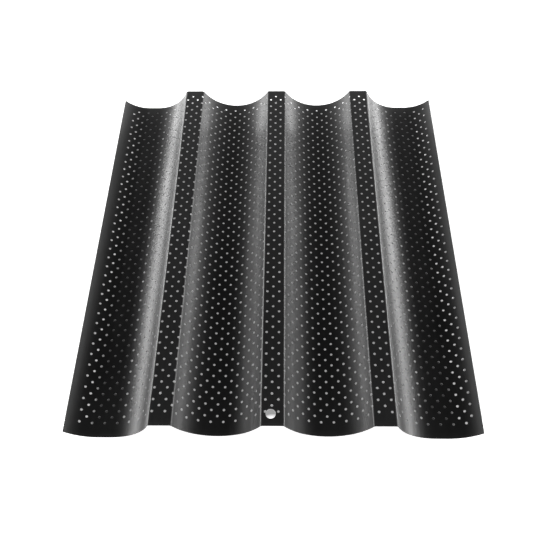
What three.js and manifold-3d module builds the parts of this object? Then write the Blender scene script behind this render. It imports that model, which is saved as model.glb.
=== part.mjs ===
// Baguette tray: one steel sheet pressed into four round-bottomed wells that run from front to back,
// with three flat ridges between them and an upturned lip on each outer side.
// Millimetres, +Z up, +Y towards the back. The origin is on the surface that the tray rests on,
// under the middle of the tray.
import * as THREE from 'three';
import { mergeVertices } from 'three/addons/utils/BufferGeometryUtils.js';
import Module from 'manifold-3d';

// Driving dimensions
const TRAY_WIDTH = 330;
const TRAY_LENGTH = 384;
const SHEET_THICKNESS = 0.6;
const RIDGE_WIDTH = 15.6;          // flat top of each ridge
const BEND_RADIUS = 2;             // where a ridge turns down into a well, to the middle of the sheet
const INNER_WELL_RADIUS = 40;      // to the middle of the sheet
const INNER_WELL_SLOPE = 58.5;     // degrees, steepness of an inner well's wall beside its ridges
const OUTER_WELL_RADIUS = 35;      // to the middle of the sheet
const OUTER_WELL_SLOPE = 68.5;     // degrees, steepness of an outer well's wall beside its ridge
const OUTER_WELL_FLAT = 10;        // flat strip along the bottom of an outer well: the tray rests on it
const HANG_HOLE_DIAMETER = 8;
const HANG_HOLE_INSET = 10;        // from the front edge to the hole's centre
const HANG_HOLE_OFFSET = -1.4;     // the hole sits slightly left of the middle
const FACET_ANGLE = 4.5;           // degrees, largest turn between two facets of an arc
const HOLE_SIDES = 40;

const COATING = { color: 0x1d1d1f, roughness: 0.38, metalness: 0.25 };

const radians = THREE.MathUtils.degToRad;

// Walks the middle line of the sheet across the tray and keeps each point with its heading.
class SheetLine {
  constructor() {
    this.x = 0;
    this.z = 0;
    this.heading = 0;
    this.stations = [];
    this.mark();
  }

  mark() {
    this.stations.push({ x: this.x, z: this.z, heading: this.heading });
  }

  straight(length) {
    this.x += length * Math.cos(this.heading);
    this.z += length * Math.sin(this.heading);
    this.mark();
  }

  // Turns by angle in radians: upwards when it is positive, downwards when it is negative.
  arc(radius, angle) {
    const side = Math.sign(angle);
    const start = this.heading;
    const centreX = this.x - side * radius * Math.sin(start);
    const centreZ = this.z + side * radius * Math.cos(start);
    const steps = Math.ceil(Math.abs(angle) / radians(FACET_ANGLE));
    for (let step = 1; step <= steps; step += 1) {
      this.heading = start + angle * step / steps;
      this.x = centreX + side * radius * Math.sin(this.heading);
      this.z = centreZ - side * radius * Math.cos(this.heading);
      this.mark();
    }
  }
}

// The right half of the tray's section, from the middle of the centre ridge to the lip's edge.
function halfSection() {
  const innerSlope = radians(INNER_WELL_SLOPE);
  const outerSlope = radians(OUTER_WELL_SLOPE);
  const line = new SheetLine();
  line.straight(RIDGE_WIDTH / 2);
  line.arc(BEND_RADIUS, -innerSlope);
  line.arc(INNER_WELL_RADIUS, 2 * innerSlope);
  line.arc(BEND_RADIUS, -innerSlope);
  line.straight(RIDGE_WIDTH);
  line.arc(BEND_RADIUS, -outerSlope);
  line.arc(OUTER_WELL_RADIUS, outerSlope);
  line.straight(OUTER_WELL_FLAT);
  // The lip turns up until the sheet's underside reaches the tray's full width.
  const reach = TRAY_WIDTH / 2 - line.x;
  line.arc(OUTER_WELL_RADIUS, Math.asin(reach / (OUTER_WELL_RADIUS + SHEET_THICKNESS / 2)));
  return line.stations;
}

// The closed outline of the sheet's section: along the upper face, then back along the lower face.
function sectionShape(stations) {
  const mirrored = stations.slice(1).reverse().map(
    (station) => ({ x: -station.x, z: station.z, heading: -station.heading }),
  );
  const across = [...mirrored, ...stations];
  const face = (offset) => across.map(({ x, z, heading }) => new THREE.Vector2(
    x - offset * Math.sin(heading),
    z + offset * Math.cos(heading),
  ));
  const upper = face(SHEET_THICKNESS / 2);
  const lower = face(-SHEET_THICKNESS / 2);
  return new THREE.Shape([...lower, ...upper.reverse()]);
}

// Height of the ridges' middle line above the surface that the tray rests on.
function ridgeHeight(stations) {
  const lowest = Math.min(...stations.map((station) => station.z));
  return SHEET_THICKNESS / 2 - lowest;
}

function formedSheetGeometry(stations) {
  const geometry = new THREE.ExtrudeGeometry(sectionShape(stations), {
    depth: TRAY_LENGTH,
    bevelEnabled: false,
    steps: 1,
  });
  geometry.rotateX(Math.PI / 2);
  geometry.translate(0, TRAY_LENGTH / 2, ridgeHeight(stations));
  return geometry;
}

function hangHoleGeometry(stations) {
  const radius = HANG_HOLE_DIAMETER / 2;
  const depth = 10 * SHEET_THICKNESS;
  const geometry = new THREE.CylinderGeometry(radius, radius, depth, HOLE_SIDES);
  geometry.rotateX(Math.PI / 2);
  geometry.translate(HANG_HOLE_OFFSET, HANG_HOLE_INSET - TRAY_LENGTH / 2, ridgeHeight(stations));
  return geometry;
}

// Closed three.js geometry to a manifold-3d solid.
function toSolid(wasm, geometry) {
  geometry.deleteAttribute('normal');
  geometry.deleteAttribute('uv');
  const merged = mergeVertices(geometry);
  return new wasm.Manifold(new wasm.Mesh({
    numProp: 3,
    vertProperties: new Float32Array(merged.getAttribute('position').array),
    triVerts: new Uint32Array(merged.getIndex().array),
  }));
}

// manifold-3d solid back to a three.js geometry.
function toGeometry(solid) {
  const { vertProperties, triVerts } = solid.getMesh();
  const geometry = new THREE.BufferGeometry();
  geometry.setAttribute('position', new THREE.BufferAttribute(vertProperties, 3));
  geometry.setIndex(new THREE.BufferAttribute(triVerts, 1));
  geometry.computeVertexNormals();
  return geometry;
}

function makeTraySheet(wasm) {
  const stations = halfSection();
  const formed = toSolid(wasm, formedSheetGeometry(stations));
  const hangHole = toSolid(wasm, hangHoleGeometry(stations));
  const sheet = formed.subtract(hangHole);
  const mesh = new THREE.Mesh(toGeometry(sheet), new THREE.MeshStandardMaterial(COATING));
  mesh.name = 'tray_sheet';
  return mesh;
}

const wasm = await Module();
wasm.setup();

const tray = new THREE.Group();
tray.name = 'baguette_tray';
tray.add(makeTraySheet(wasm));

export default tray;
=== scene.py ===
"""Baguette tray: the perforated, coated steel sheet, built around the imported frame. Metres, +Z up."""

import math

import bpy
import numpy as np
from mathutils import Matrix, Vector
from mathutils.geometry import delaunay_2d_cdt


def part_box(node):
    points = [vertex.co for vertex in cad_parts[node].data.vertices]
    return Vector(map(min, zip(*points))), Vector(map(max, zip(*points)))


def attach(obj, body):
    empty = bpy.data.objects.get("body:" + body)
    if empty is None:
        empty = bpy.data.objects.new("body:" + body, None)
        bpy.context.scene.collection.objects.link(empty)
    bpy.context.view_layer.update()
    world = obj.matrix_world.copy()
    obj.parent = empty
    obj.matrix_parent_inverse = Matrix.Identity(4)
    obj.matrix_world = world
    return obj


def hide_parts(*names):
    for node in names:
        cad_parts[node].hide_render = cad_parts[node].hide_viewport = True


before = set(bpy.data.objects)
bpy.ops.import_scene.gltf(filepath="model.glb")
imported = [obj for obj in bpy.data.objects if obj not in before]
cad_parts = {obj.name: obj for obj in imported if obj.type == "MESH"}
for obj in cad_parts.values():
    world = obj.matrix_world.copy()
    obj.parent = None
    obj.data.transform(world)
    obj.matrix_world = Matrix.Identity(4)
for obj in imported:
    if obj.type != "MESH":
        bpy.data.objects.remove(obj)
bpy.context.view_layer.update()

MM = 0.001

# The sheet's section, as the CAD part has it. Radii go to the middle of the sheet.
RIDGE_WIDTH = 15.6 * MM
BEND_RADIUS = 2 * MM
INNER_WELL_RADIUS = 40 * MM
INNER_WELL_SLOPE = math.radians(58.5)
OUTER_WELL_RADIUS = 35 * MM
OUTER_WELL_SLOPE = math.radians(68.5)
OUTER_WELL_FLAT = 10 * MM
SHEET_THICKNESS = 0.6 * MM

# The punched pattern, which is flat when it is punched: staggered rows, one hole at every second site.
SITE_PITCH = 5.12 * MM
SITES_ACROSS = 72
SITES_ALONG = 72
PATTERN_SHIFT = (2.0 * MM, 1.6 * MM)
HOLE_RADIUS = 1.05 * MM
HANG_HOLE_RADIUS = 4 * MM
HANG_HOLE_INSET = 10 * MM
HANG_HOLE_OFFSET = -1.4 * MM

# How finely the flat sheet is cut up before it is bent.
HOLE_SIDES = 12
HANG_HOLE_SIDES = 48
BEND_STEPS = 6
SPARE_COLUMNS = 2
POINTS_ALONG = SITES_ALONG + 4
EDGE_CLEARANCE = SITE_PITCH / 4
BEND_CLEARANCE = 0.15 * MM
MERGE_GAP_IN_MM = 1e-5

# The coating. A grain is the features per metre along x, y and z, then the noise's detail. The sheet was
# rolled along y.
FILM_COLOUR = (0.0015, 0.0015, 0.0017, 1)
DUSTY_FILM_COLOUR = (0.0035, 0.0035, 0.0036, 1)
# Pale steel tint where the film is thin; on the punched holes' walls it is a painted highlight.
STEEL_AND_HOLE_HIGHLIGHT_COLOUR = (0.8, 0.8, 0.81, 1)
FILM_ROUGHNESS = 0.38
PATCH_ROUGHNESS = 0.02
STREAK_ROUGHNESS = 0.03
FILM_IOR = 1.4
FILM_SHEEN = 1
FILM_SHEEN_ROUGHNESS = 0.26
PATCH_GRAIN = ((22, 14, 22), 3)
STREAK_GRAIN = ((450, 12, 450), 2)
SCUFF_GRAIN = ((160, 160, 160), 4)
PEEL_GRAIN = ((650, 650, 650), 2)
NOISE_MIDDLE = (0.3, 0.7)
LEAST_SCUFFED = 0.2
PEEL_STRENGTH = 0.2
PEEL_DEPTH = 0.05 * MM

# Where the film is thin and steel shows through it: a little along the outline and over the bends. On the
# walls of the punched holes the pale colour is full, a painted highlight that makes each hole a bright dot.
THIN_FILM_AND_HOLE_HIGHLIGHT = "thin_film"
THIN_FILM_REACH = 1.2 * MM
BEND_WEAR = 0.01
ON_OUTLINE = 0.99

# The floor's glow, which is also its tone: white on the open floor, painted shade under the tray, darker
# painted shade under the lips, and a nearly black painted contact shadow on the strips that the outer wells
# touch. The painted shade reaches half a width and half a length from the middle, and lies further back
# under each ridge.
FLOOR_SIZE = 8
FLOOR_ROUGHNESS = 0.7
OPEN_GLOW = 1.05
PAINTED_SHADE_GLOW = 0.3
PAINTED_LIP_SHADE_GLOW = 0.14
PAINTED_CONTACT_SHADOW_GLOW = 0.03
CONTACT_LINE = 134.5 * MM
CONTACT_HALF_WIDTH = 12 * MM
LIP_LINE = 157 * MM
HALF_WIDTH = 167.5 * MM
HALF_LENGTH = 187 * MM
GLOW_FADE = 3.5 * MM
RIDGE_PITCH = 87.2 * MM
RIDGE_SET_BACK = 15 * MM

# The lights. The softboxes at the sides face the tray's middle, at a turn from straight behind it.
SIDE_AZIMUTH = math.radians(70)
SIDE_DISTANCE = 1.3
LOW_HEIGHT = 0.13
LOW_SIZE = (1.4, 0.22)
LOW_POWER = 28
TALL_HEIGHT = 0.33
TALL_SIZE = (1.4, 0.5)
TALL_POWER = 9
TOP_PLACE = (0, -0.35, 1.3)
TOP_SIZE = (1, 0.4)
TOP_POWER = 4.5

# The room's glow, bright near the horizon: elevations in degrees, each with its share of the strength.
ROOM_STRENGTH = 2.2
ROOM_GLOW = (
    (5, 0.9),
    (10, 0.75),
    (20, 0.55),
    (30, 0.25),
    (40, 0.06),
    (48, 0.01),
    (56, 0),
    (66, 0),
    (74, 0.02),
    (85, 0.02),
)

CAMERA_PLACE = (0.0104, -0.4189, 0.5430)
CAMERA_PITCH = math.radians(54.64)
CAMERA_YAW = math.radians(1.44)
CAMERA_ROLL = math.radians(-1.11)
CAMERA_LENS = 47.29
CAMERA_SENSOR = 36


class Section:
    """Half of the sheet's section, from the middle outwards, as stretches of constant curvature."""

    def __init__(self, width, height):
        stretches = [
            (RIDGE_WIDTH / 2, 0),
            (BEND_RADIUS * INNER_WELL_SLOPE, -1 / BEND_RADIUS),
            (INNER_WELL_RADIUS * 2 * INNER_WELL_SLOPE, 1 / INNER_WELL_RADIUS),
            (BEND_RADIUS * INNER_WELL_SLOPE, -1 / BEND_RADIUS),
            (RIDGE_WIDTH, 0),
            (BEND_RADIUS * OUTER_WELL_SLOPE, -1 / BEND_RADIUS),
            (OUTER_WELL_RADIUS * OUTER_WELL_SLOPE, 1 / OUTER_WELL_RADIUS),
            (OUTER_WELL_FLAT, 0),
        ]
        self.starts = []
        x, z, heading, along = 0.0, height - SHEET_THICKNESS / 2, 0.0, 0.0
        for length, curvature in stretches:
            self.starts.append((along, x, z, heading, curvature))
            x, z, heading = self.walk(x, z, heading, curvature, length)
            along += length
        # The lip turns up until the sheet's underside reaches the tray's full width.
        self.starts.append((along, x, z, heading, 1 / OUTER_WELL_RADIUS))
        reach = (width / 2 - x) / (OUTER_WELL_RADIUS + SHEET_THICKNESS / 2)
        self.half_width = along + OUTER_WELL_RADIUS * math.asin(reach)

    @staticmethod
    def walk(x, z, heading, curvature, length):
        """The place and heading after a length of one stretch; length may be an array."""
        end = heading + curvature * length
        if curvature == 0:
            return x + length * math.cos(heading), z + length * math.sin(heading), end
        return (
            x + (np.sin(end) - math.sin(heading)) / curvature,
            z + (math.cos(heading) - np.cos(end)) / curvature,
            end,
        )

    def place(self, across):
        """Arrays of x, z and heading on the middle of the sheet, for distances across the flat sheet."""
        out = np.abs(across)
        x, z, heading = np.zeros_like(out), np.zeros_like(out), np.zeros_like(out)
        bounds = [start[0] for start in self.starts] + [np.inf]
        for (along, x0, z0, h0, curvature), end in zip(self.starts, bounds[1:]):
            here = (out >= along) & (out < end)
            x[here], z[here], heading[here] = self.walk(x0, z0, h0, curvature, out[here] - along)
        side = np.sign(across)
        return x * side, z, heading * side

    def tight_bends(self):
        """The middle and half the length of each tight bend, as distances across the flat half sheet."""
        ends = [start[0] for start in self.starts[1:]] + [self.half_width]
        return [
            ((start[0] + end) / 2, (end - start[0]) / 2)
            for start, end in zip(self.starts, ends)
            if abs(start[4]) > 1 / (2 * BEND_RADIUS)
        ]

    def bend_lines(self):
        """Where the flat sheet is cut so that it follows the tight bends and the outer well's flat."""
        lines = [start[0] for start in self.starts[-2:]]
        for middle, half in self.tight_bends():
            lines.extend(np.linspace(middle - half, middle + half, BEND_STEPS + 1))
        return lines


class FlatSheet:
    """Collects the outline, the holes and the cut lines of the flat sheet, then triangulates them."""

    def __init__(self):
        self.points = []
        self.edges = []
        self.faces = []

    def loop(self, points):
        first = len(self.points)
        self.points.extend(points)
        self.faces.append(list(range(first, first + len(points))))

    def line(self, points):
        first = len(self.points)
        self.points.extend(points)
        self.edges.extend((i, i + 1) for i in range(first, first + len(points) - 1))

    def circle(self, centre, radius, sides):
        turns = np.arange(sides) * 2 * math.pi / sides
        self.loop([
            (centre[0] + radius * math.cos(turn), centre[1] + radius * math.sin(turn))
            for turn in turns
        ])

    def triangles(self):
        """Points and triangles of the metal: inside the outline, which is loop 0, and in no hole."""
        scale = 1 / MM
        points = [Vector((x * scale, y * scale)) for x, y in self.points]
        found, _, faces, _, _, sources = delaunay_2d_cdt(
            points, self.edges, self.faces, 0, MERGE_GAP_IN_MM
        )
        metal = np.array([face for face, source in zip(faces, sources) if source == [0]])
        used, renumbered = np.unique(metal, return_inverse=True)
        spots = np.array([found[i][:] for i in used]) / scale
        metal = renumbered.reshape(-1, 3)
        a, b, c = (spots[metal[:, corner]] for corner in range(3))
        clockwise = np.cross(b - a, c - a) < 0
        metal[clockwise] = metal[clockwise][:, ::-1]
        return spots, metal


def site(column, row):
    """Where a site of the punched pattern is on the flat sheet."""
    return (
        (column - (SITES_ACROSS - 1) / 2) * SITE_PITCH + PATTERN_SHIFT[0],
        (row - (SITES_ALONG - 1) / 2) * SITE_PITCH + PATTERN_SHIFT[1],
    )


def cut_lines(section):
    """Distances across the flat sheet of the lines that cut it up: between the sites, and at the bends."""
    between = np.arange(-SPARE_COLUMNS, SITES_ACROSS + SPARE_COLUMNS + 1) - 0.5
    columns = [site(column, 0)[0] for column in between]
    columns = [x for x in columns if abs(x) < section.half_width - EDGE_CLEARANCE]
    bends = [side * x for x in section.bend_lines() for side in (-1, 1)]
    columns = [x for x in columns if min(abs(x - bend) for bend in bends) > BEND_CLEARANCE]
    return sorted(columns + bends) + [-section.half_width, section.half_width]


def flat_sheet(section, length):
    """The flat sheet: outline, perforations, hang hole, and the lines that cut it up."""
    sheet = FlatSheet()
    half_width, half_length = section.half_width, length / 2
    sheet.loop([
        (-half_width, -half_length),
        (half_width, -half_length),
        (half_width, half_length),
        (-half_width, half_length),
    ])
    for column in range(SITES_ACROSS):
        for row in range(column % 2, SITES_ALONG, 2):
            sheet.circle(site(column, row), HOLE_RADIUS, HOLE_SIDES)
    hang_hole = (HANG_HOLE_OFFSET, HANG_HOLE_INSET - half_length)
    sheet.circle(hang_hole, HANG_HOLE_RADIUS, HANG_HOLE_SIDES)
    rows = np.linspace(-half_length, half_length, POINTS_ALONG)
    for x in cut_lines(section):
        sheet.line([(x, y) for y in rows])
    return sheet


def boundary_edges(triangles):
    """Directed edges that belong to one triangle only, with the metal on their left."""
    edges = np.concatenate([triangles[:, [0, 1]], triangles[:, [1, 2]], triangles[:, [2, 0]]])
    ordered = np.sort(edges, axis=1)
    _, first, counts = np.unique(ordered, axis=0, return_index=True, return_counts=True)
    return edges[first[counts == 1]]


def thin_at_outline(section, spots, length):
    """How near each point of the flat sheet is to its cut outline, 1 on it and 0 past the worn strip."""
    gap = np.minimum(section.half_width - np.abs(spots[:, 0]), length / 2 - np.abs(spots[:, 1]))
    return np.clip(1 - gap / THIN_FILM_REACH, 0, 1)


def thin_film(section, spots, length):
    """How much steel shows at each point, 0 to 1: a little along the outline and over the tight bends."""
    out = np.abs(spots[:, 0])
    bends = [np.clip(1 - np.abs(out - middle) / half, 0, 1) for middle, half in section.tight_bends()]
    return BEND_WEAR * np.maximum(thin_at_outline(section, spots, length), np.max(bends, axis=0))


def set_normals(mesh, normals, upper, lower, walls):
    """Smooth shading across the upper and lower faces, and flat walls. Walls are given as their corners."""
    facing = np.cross(walls[:, 1] - walls[:, 0], walls[:, 3] - walls[:, 0])
    facing /= np.linalg.norm(facing, axis=1)[:, None]
    corner_normals = np.concatenate([
        normals[upper].reshape(-1, 3),
        -normals[lower].reshape(-1, 3),
        np.repeat(facing, 4, axis=0),
    ])
    mesh.normals_split_custom_set(corner_normals.tolist())


def set_thin_film_and_hole_highlight(mesh, thin, on_outline, upper, lower, rim):
    """Writes how much steel tint each corner takes: all of it, a painted highlight, on the walls of the
    punched holes.
    """
    punched = ~(on_outline[rim[:, 0]] & on_outline[rim[:, 1]])
    corner_film_and_highlight = np.concatenate([
        thin[upper].ravel(),
        thin[lower].ravel(),
        # The punched holes' walls take the full pale colour, a painted highlight.
        np.repeat(np.where(punched, 1.0, BEND_WEAR), 4),
    ])
    mesh.attributes.new(THIN_FILM_AND_HOLE_HIGHLIGHT, "FLOAT", "CORNER").data.foreach_set("value", corner_film_and_highlight)


def make_sheet(section, length):
    """The formed sheet as one closed mesh: upper face, lower face and the walls of every edge."""
    spots, upper = flat_sheet(section, length).triangles()
    lower = upper[:, ::-1]
    rim = boundary_edges(upper)
    x, z, heading = section.place(spots[:, 0])
    normals = np.stack([-np.sin(heading), np.zeros_like(heading), np.cos(heading)], axis=1)
    middle = np.stack([x, spots[:, 1], z], axis=1)
    half = SHEET_THICKNESS / 2
    vertices = np.concatenate([middle + half * normals, middle - half * normals])
    count = len(spots)
    walls = np.stack([rim[:, 0], rim[:, 0] + count, rim[:, 1] + count, rim[:, 1]], axis=1)
    faces = upper.tolist() + (lower + count).tolist() + walls.tolist()
    mesh = bpy.data.meshes.new("perforated_sheet")
    mesh.from_pydata(vertices.tolist(), [], faces)
    mesh.shade_smooth()
    set_normals(mesh, normals, upper, lower, vertices[walls])
    on_outline = thin_at_outline(section, spots, length) > ON_OUTLINE
    set_thin_film_and_hole_highlight(mesh, thin_film(section, spots, length), on_outline, upper, lower, rim)
    sheet = bpy.data.objects.new("perforated_sheet", mesh)
    bpy.context.scene.collection.objects.link(sheet)
    return sheet


def new_material(name):
    material = bpy.data.materials.new(name)
    material.use_nodes = True
    nodes = material.node_tree.nodes
    return material, nodes, material.node_tree.links, nodes["Principled BSDF"]


def maths(nodes, links, operation, first, second=None, clamp=False):
    """A math node's result. The second input is a number, another node's output, or left out."""
    node = nodes.new("ShaderNodeMath")
    node.operation = operation
    node.use_clamp = clamp
    links.new(first, node.inputs[0])
    if isinstance(second, (int, float)):
        node.inputs[1].default_value = second
    elif second is not None:
        links.new(second, node.inputs[1])
    return node.outputs["Value"]


def noise(nodes, links, place, grain):
    """A noise pattern of one grain."""
    per_metre, detail = grain
    mapping = nodes.new("ShaderNodeMapping")
    mapping.inputs["Scale"].default_value = per_metre
    texture = nodes.new("ShaderNodeTexNoise")
    texture.inputs["Scale"].default_value = 1
    texture.inputs["Detail"].default_value = detail
    links.new(place, mapping.inputs["Vector"])
    links.new(mapping.outputs["Vector"], texture.inputs["Vector"])
    return texture.outputs["Fac"]


def spread(nodes, links, value, low, high):
    """The noise value's middle range stretched to run from low to high."""
    stretch = nodes.new("ShaderNodeMapRange")
    stretch.inputs["From Min"].default_value, stretch.inputs["From Max"].default_value = NOISE_MIDDLE
    stretch.inputs["To Min"].default_value = low
    stretch.inputs["To Max"].default_value = high
    links.new(value, stretch.inputs["Value"])
    return stretch.outputs["Result"]


def film_colour(nodes, links, place, patches):
    """Black film with dusty patches, steel where the film is thin, and a painted highlight on the holes'
    walls.
    """
    worn = nodes.new("ShaderNodeAttribute")
    worn.attribute_name = THIN_FILM_AND_HOLE_HIGHLIGHT
    scuffs = spread(nodes, links, noise(nodes, links, place, SCUFF_GRAIN), LEAST_SCUFFED, 1)
    thin = maths(nodes, links, "MULTIPLY", worn.outputs["Fac"], scuffs, clamp=True)
    film = nodes.new("ShaderNodeMix")
    film.data_type = "RGBA"
    film.inputs["A"].default_value = FILM_COLOUR
    film.inputs["B"].default_value = DUSTY_FILM_COLOUR
    links.new(spread(nodes, links, patches, 0, 1), film.inputs["Factor"])
    # On the punched holes' walls this pale tint is a painted highlight.
    tint = nodes.new("ShaderNodeMix")
    tint.data_type = "RGBA"
    tint.inputs["B"].default_value = STEEL_AND_HOLE_HIGHLIGHT_COLOUR
    links.new(film.outputs["Result"], tint.inputs["A"])
    links.new(thin, tint.inputs["Factor"])
    return tint.outputs["Result"]


def make_coating():
    """Black non-stick film: orange peel, rolling streaks, uneven gloss, steel where thin, and painted
    highlight in holes.
    """
    material, nodes, links, shader = new_material("nonstick_coating")
    place = nodes.new("ShaderNodeTexCoord").outputs["Object"]
    patches = noise(nodes, links, place, PATCH_GRAIN)
    links.new(film_colour(nodes, links, place, patches), shader.inputs["Base Color"])

    least, most = FILM_ROUGHNESS - PATCH_ROUGHNESS, FILM_ROUGHNESS + PATCH_ROUGHNESS
    uneven = spread(nodes, links, patches, least, most)
    streaky = spread(nodes, links, noise(nodes, links, place, STREAK_GRAIN), 0, STREAK_ROUGHNESS)
    links.new(maths(nodes, links, "ADD", uneven, streaky, clamp=True), shader.inputs["Roughness"])

    bump = nodes.new("ShaderNodeBump")
    bump.inputs["Strength"].default_value = PEEL_STRENGTH
    bump.inputs["Distance"].default_value = PEEL_DEPTH
    links.new(noise(nodes, links, place, PEEL_GRAIN), bump.inputs["Height"])
    links.new(bump.outputs["Normal"], shader.inputs["Normal"])

    shader.inputs["IOR"].default_value = FILM_IOR
    shader.inputs["Sheen Weight"].default_value = FILM_SHEEN
    shader.inputs["Sheen Roughness"].default_value = FILM_SHEEN_ROUGHNESS
    return material


def distance(nodes, links, value, centre):
    """How far the value is from the centre, on either side."""
    return maths(nodes, links, "ABSOLUTE", maths(nodes, links, "SUBTRACT", value, centre))


def soft_step(nodes, links, value, reach, levels):
    """A soft step in the value: the first level inside the reach, the second outside it."""
    step = nodes.new("ShaderNodeMapRange")
    step.interpolation_type = "SMOOTHSTEP"
    step.inputs["From Min"].default_value = reach - GLOW_FADE
    step.inputs["From Max"].default_value = reach + GLOW_FADE
    step.inputs["To Min"].default_value, step.inputs["To Max"].default_value = levels
    links.new(value, step.inputs["Value"])
    return step.outputs["Result"]


def set_back_under_ridges(nodes, links, x):
    """How much further back the painted floor shade lies: nothing under the wells, and most under each
    ridge.
    """
    turn = maths(nodes, links, "MULTIPLY", x, 2 * math.pi / RIDGE_PITCH)
    set_back = nodes.new("ShaderNodeMapRange")
    set_back.inputs["To Max"].default_value = RIDGE_SET_BACK
    links.new(maths(nodes, links, "COSINE", turn), set_back.inputs["Value"])
    return set_back.outputs["Result"]


def floor_glow_and_painted_shade(nodes, links):
    """White in the open; painted shade under the tray and lips, and a painted contact shadow where the
    outer wells touch.
    """
    split = nodes.new("ShaderNodeSeparateXYZ")
    links.new(nodes.new("ShaderNodeTexCoord").outputs["Object"], split.inputs["Vector"])
    x, y = split.outputs["X"], split.outputs["Y"]
    across = distance(nodes, links, x, 0)
    along = distance(nodes, links, y, set_back_under_ridges(nodes, links, x))
    contact = distance(nodes, links, across, CONTACT_LINE)
    # Painted shade: a nearly black painted contact shadow along the outer wells, and darker painted shade
    # under the lips.
    painted_contact_shadow = soft_step(nodes, links, contact, CONTACT_HALF_WIDTH, (PAINTED_CONTACT_SHADOW_GLOW, PAINTED_SHADE_GLOW))
    painted_lip_shade = soft_step(nodes, links, across, LIP_LINE, (PAINTED_SHADE_GLOW, PAINTED_LIP_SHADE_GLOW))
    painted_shade = maths(nodes, links, "MINIMUM", painted_contact_shadow, painted_lip_shade, clamp=True)
    past_side = soft_step(nodes, links, across, HALF_WIDTH, (0, OPEN_GLOW))
    past_end = soft_step(nodes, links, along, HALF_LENGTH, (0, OPEN_GLOW))
    outside = maths(nodes, links, "MAXIMUM", past_side, past_end, clamp=True)
    return maths(nodes, links, "MAXIMUM", outside, painted_shade, clamp=True)


def make_floor():
    material, nodes, links, shader = new_material("pale_floor_painted_shade")
    glow = floor_glow_and_painted_shade(nodes, links)
    # The glow with its painted shade is also the floor's base colour.
    links.new(glow, shader.inputs["Base Color"])
    links.new(glow, shader.inputs["Emission Strength"])
    shader.inputs["Emission Color"].default_value = (1, 1, 1, 1)
    shader.inputs["Roughness"].default_value = FLOOR_ROUGHNESS
    bpy.ops.mesh.primitive_plane_add(size=FLOOR_SIZE)
    floor = bpy.context.object
    floor.name = "floor"
    floor.data.materials.append(material)


def area_light(name, place, target, size, power):
    data = bpy.data.lights.new(name, "AREA")
    data.shape = "RECTANGLE"
    data.size, data.size_y = size
    data.energy = power
    light = bpy.data.objects.new(name, data)
    light.location = place
    light.rotation_euler = (Vector(target) - Vector(place)).to_track_quat("-Z", "Y").to_euler()
    light.visible_camera = False
    bpy.context.scene.collection.objects.link(light)


def make_lights():
    """A low and a tall softbox on each side, and a weak one over the camera."""
    softboxes = (
        ("low", LOW_HEIGHT, LOW_SIZE, LOW_POWER),
        ("tall", TALL_HEIGHT, TALL_SIZE, TALL_POWER),
    )
    for side, hand in ((-1, "left"), (1, "right")):
        turn = SIDE_AZIMUTH * side
        for kind, height, size, power in softboxes:
            place = (SIDE_DISTANCE * math.sin(turn), SIDE_DISTANCE * math.cos(turn), height)
            area_light(f"{hand}_{kind}_softbox", place, (0, 0, height), size, power)
    area_light("top_softbox", TOP_PLACE, (0, 0, 0), TOP_SIZE, TOP_POWER)


def make_world():
    """A grey room whose glow depends on the elevation alone."""
    world = bpy.data.worlds.new("studio")
    world.use_nodes = True
    nodes, links = world.node_tree.nodes, world.node_tree.links
    direction = nodes.new("ShaderNodeTexCoord")
    split = nodes.new("ShaderNodeSeparateXYZ")
    glow = nodes.new("ShaderNodeValToRGB")
    stops = glow.color_ramp.elements
    for stop, (_, level) in ((stops[0], ROOM_GLOW[0]), (stops[1], ROOM_GLOW[-1])):
        stop.color = (level, level, level, 1)
    for elevation, level in ROOM_GLOW:
        stops.new(math.sin(math.radians(elevation))).color = (level, level, level, 1)
    background = nodes["Background"]
    background.inputs["Strength"].default_value = ROOM_STRENGTH
    links.new(direction.outputs["Generated"], split.inputs["Vector"])
    links.new(split.outputs["Z"], glow.inputs["Fac"])
    links.new(glow.outputs["Color"], background.inputs["Color"])
    bpy.context.scene.world = world


def make_camera():
    data = bpy.data.cameras.new("camera")
    data.sensor_width = CAMERA_SENSOR
    data.lens = CAMERA_LENS
    camera = bpy.data.objects.new("camera", data)
    turn = Matrix.Rotation(CAMERA_YAW, 4, "Z")
    tilt = Matrix.Rotation(math.pi / 2 - CAMERA_PITCH, 4, "X")
    roll = Matrix.Rotation(CAMERA_ROLL, 4, "Z")
    camera.matrix_world = Matrix.Translation(CAMERA_PLACE) @ turn @ tilt @ roll
    bpy.context.scene.collection.objects.link(camera)
    bpy.context.scene.camera = camera


make_camera()
low, high = (np.array(corner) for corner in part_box("tray_sheet"))
section = Section(high[0] - low[0], high[2])
sheet = make_sheet(section, high[1] - low[1])
sheet.data.materials.append(make_coating())
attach(sheet, "root")
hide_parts("tray_sheet")
make_floor()
make_lights()
make_world()
bpy.context.scene.view_settings.view_transform = "Standard"
